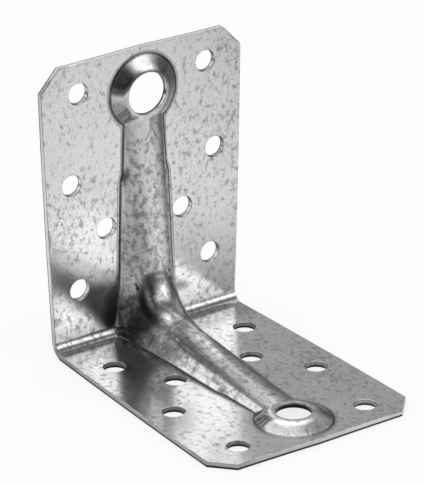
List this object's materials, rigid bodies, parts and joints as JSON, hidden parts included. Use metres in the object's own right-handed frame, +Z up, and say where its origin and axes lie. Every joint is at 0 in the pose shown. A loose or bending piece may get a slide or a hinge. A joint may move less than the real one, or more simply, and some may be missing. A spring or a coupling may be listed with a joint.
{
  "type": "angle bracket",
  "caption": "Right-angle sheet steel bracket with a pressed rib across the corner, raised bosses round its bolt holes and nail holes in both leaves.",
  "frame": {"origin": "middle of the bounding box at the underside of the base leaf", "axes": "+Z up along the wall leaf, +Y towards the outer face of the wall leaf, +X across the leaves"},
  "size_m": [0.0532, 0.07, 0.07],
  "materials": {
    "galvanised_steel": "hot-dip galvanised sheet, light grey with fine dark flecks, shiny on the pressed rib and bosses"
  },
  "bodies": {
    "root": {"angle_bracket": "galvanised_steel"}
  },
  "joints": []
}
